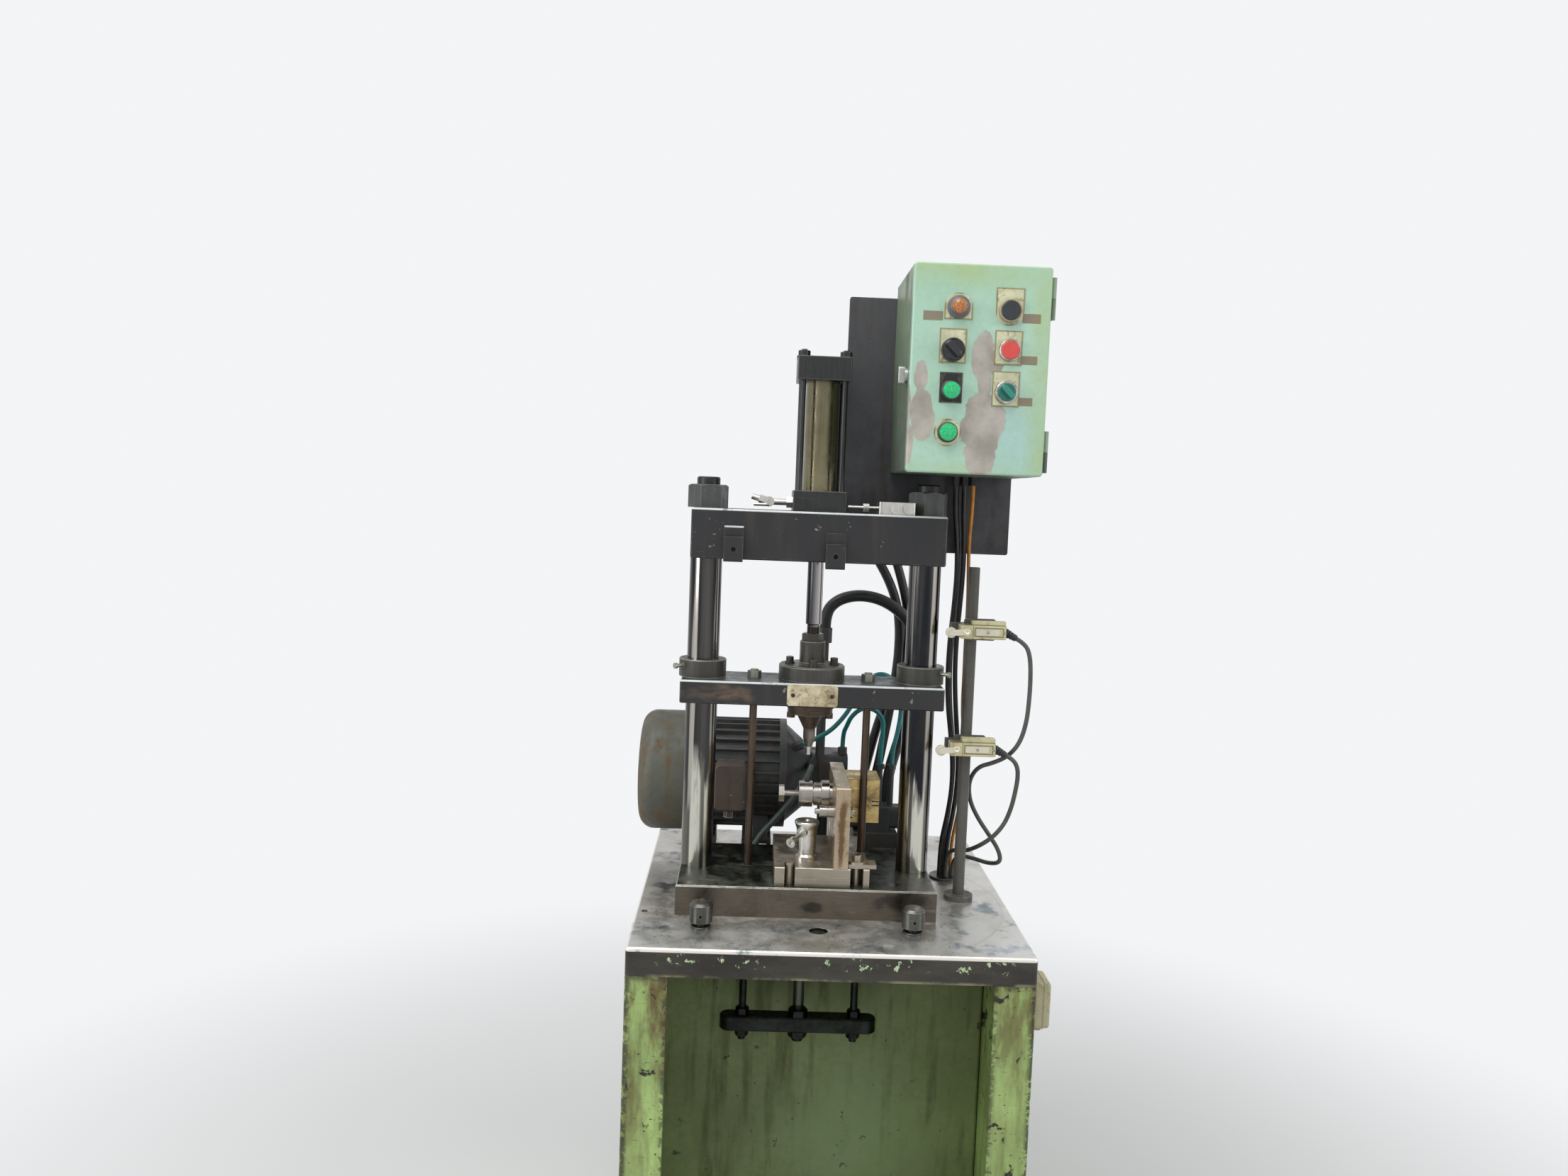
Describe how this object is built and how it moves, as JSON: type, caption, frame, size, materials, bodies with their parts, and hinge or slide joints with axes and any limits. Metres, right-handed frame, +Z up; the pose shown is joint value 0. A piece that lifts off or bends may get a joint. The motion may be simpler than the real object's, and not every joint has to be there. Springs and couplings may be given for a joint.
{
  "type": "hydraulic press",
  "caption": "Two-column hydraulic bench press on an open cabinet, with power unit, control box, limit switches, pressing fixture and ejector.",
  "frame": {"origin": "on the floor under the middle of the table", "axes": "+Z up, +Y away from the operator, +X to the operator's right"},
  "size_m": [0.63, 0.6, 1.776],
  "materials": {
    "cabinet_green": "worn satin",
    "tank_green": "worn satin",
    "table_steel": "worn",
    "base_steel": "ground, stained",
    "chrome": "polished",
    "black_paint": "worn satin",
    "dark_steel": "oiled black",
    "bright_steel": "machined",
    "barrel_steel": "oily satin",
    "motor_grey": "dusty satin",
    "cowl_grey": "dusty satin",
    "pump_iron": "oily",
    "mast_grey": "satin",
    "switch_cream": "moulded",
    "lever_steel": "plated",
    "roller_cream": "moulded",
    "panel_dark": "satin",
    "box_mint": "worn satin",
    "button_black": "moulded",
    "button_red": "moulded",
    "selector_green": "moulded",
    "lamp_bezel": "moulded",
    "palm_grey": "worn",
    "brass": "machined, stained",
    "locator_steel": "turned",
    "junction_cream": "moulded",
    "hose_black": "matte",
    "tube_teal": "satin",
    "cable_black": "matte",
    "cable_grey": "matte"
  },
  "bodies": {
    "frame": {"cabinet": "cabinet_green", "oil_tank": "tank_green", "table_top": "table_steel", "press_base": "base_steel", "columns": "chrome", "column_nuts": "dark_steel", "beam": "black_paint", "beam_hooks": "black_paint", "cylinder_head": "dark_steel", "cylinder_tube": "barrel_steel", "cylinder_end_cap": "dark_steel", "tie_rods": "dark_steel", "pipe_fittings": "bright_steel", "motor": "motor_grey", "fan_cowl": "cowl_grey", "terminal_box": "motor_grey", "pump": "pump_iron", "motor_rails": "motor_grey", "valve_block": "pump_iron", "switch_mast": "mast_grey", "switch_bodies": "switch_cream", "carrier_panel": "panel_dark", "control_box": "box_mint", "fixture_plate": "bright_steel", "fixture_wall": "bright_steel", "locator": "locator_steel", "brass_block": "brass", "nest_post": "bright_steel", "fixture_fasteners": "bright_steel", "junction_box": "junction_cream", "table_bushes": "bright_steel", "hose_arch": "hose_black", "cylinder_hoses": "hose_black", "tubes_teal": "tube_teal", "cables_control": "cable_black", "switch_cable_upper": "cable_grey", "switch_cable_lower": "cable_grey"},
    "ram": {"piston_rod": "chrome", "coupling_flange": "dark_steel", "ram_fasteners": "bright_steel", "crosshead": "black_paint", "crosshead_bushes": "dark_steel", "tool_holder": "dark_steel", "punch": "bright_steel", "ejector_rods": "bright_steel", "ejector_bar": "bright_steel"},
    "door": {"box_door": "box_mint", "pilot_lamps": "lamp_bezel"},
    "body_door_latch": {"door_latch": "bright_steel"},
    "body_button_black": {"button_black": "button_black"},
    "body_button_red": {"button_red": "button_red"},
    "body_selector_black": {"selector_black": "button_black"},
    "body_selector_green": {"selector_green": "selector_green"},
    "body_palm_button_left": {"palm_button_left": "chrome"},
    "body_palm_button_right": {"palm_button_right": "chrome"},
    "body_lever_upper": {"lever_upper": "lever_steel"},
    "body_lever_lower": {"lever_lower": "lever_steel"},
    "body_roller_upper": {"roller_upper": "roller_cream"},
    "body_roller_lower": {"roller_lower": "roller_cream"},
    "body_throttle_knob": {"throttle_knob": "bright_steel"}
  },
  "joints": [
    {"name": "ram_slide", "type": "slide", "parent": "frame", "child": "ram", "axis": [0, 0, 1], "range_m": [-0.055, 0.053]},
    {"name": "door_hinge", "type": "hinge", "parent": "frame", "child": "door", "pos_m": [0.288, -0.182, 1.626], "axis": [0, 0, 1], "range_deg": [0, 110]},
    {"name": "latch_turn", "type": "hinge", "parent": "frame", "child": "body_door_latch", "pos_m": [0.08, -0.1591, 1.617], "axis": [1, 0, 0], "range_deg": [0, 90]},
    {"name": "throttle_turn", "type": "hinge", "parent": "frame", "child": "body_throttle_knob", "pos_m": [0.04, -0.089, 1.4215], "axis": [1, 0, 0], "continuous": true},
    {"name": "button_black_push", "type": "slide", "parent": "door", "child": "body_button_black", "axis": [0, 1, 0], "range_m": [0, 0.005], "stiffness_N_per_m": 400, "springref_m": -0.003},
    {"name": "selector_black_turn", "type": "hinge", "parent": "door", "child": "body_selector_black", "pos_m": [0.144, -0.19, 1.6525], "axis": [0, 1, 0], "range_deg": [-45, 45]},
    {"name": "button_red_push", "type": "slide", "parent": "door", "child": "body_button_red", "axis": [0, 1, 0], "range_m": [0, 0.005], "stiffness_N_per_m": 400, "springref_m": -0.003},
    {"name": "selector_green_turn", "type": "hinge", "parent": "door", "child": "body_selector_green", "pos_m": [0.224, -0.19, 1.595], "axis": [0, 1, 0], "range_deg": [-45, 45]},
    {"name": "palm_left_push", "type": "slide", "parent": "frame", "child": "body_palm_button_left", "axis": [0, 0, 1], "range_m": [-0.005, 0], "stiffness_N_per_m": 600, "springref_m": 0.004},
    {"name": "palm_right_push", "type": "slide", "parent": "frame", "child": "body_palm_button_right", "axis": [0, 0, 1], "range_m": [-0.005, 0], "stiffness_N_per_m": 600, "springref_m": 0.004},
    {"name": "lever_upper_swing", "type": "hinge", "parent": "frame", "child": "body_lever_upper", "pos_m": [0.204, -0.092, 1.235], "axis": [0, 1, 0], "range_deg": [-25, 25], "stiffness_Nm_per_rad": 0.2},
    {"name": "roller_upper_spin", "type": "hinge", "parent": "body_lever_upper", "child": "body_roller_upper", "pos_m": [0.18, -0.0885, 1.233], "axis": [0, 1, 0], "continuous": true},
    {"name": "lever_lower_swing", "type": "hinge", "parent": "frame", "child": "body_lever_lower", "pos_m": [0.197, -0.092, 1.05], "axis": [0, 1, 0], "range_deg": [-25, 25], "stiffness_Nm_per_rad": 0.2},
    {"name": "roller_lower_spin", "type": "hinge", "parent": "body_lever_lower", "child": "body_roller_lower", "pos_m": [0.173, -0.0885, 1.047], "axis": [0, 1, 0], "continuous": true}
  ]
}
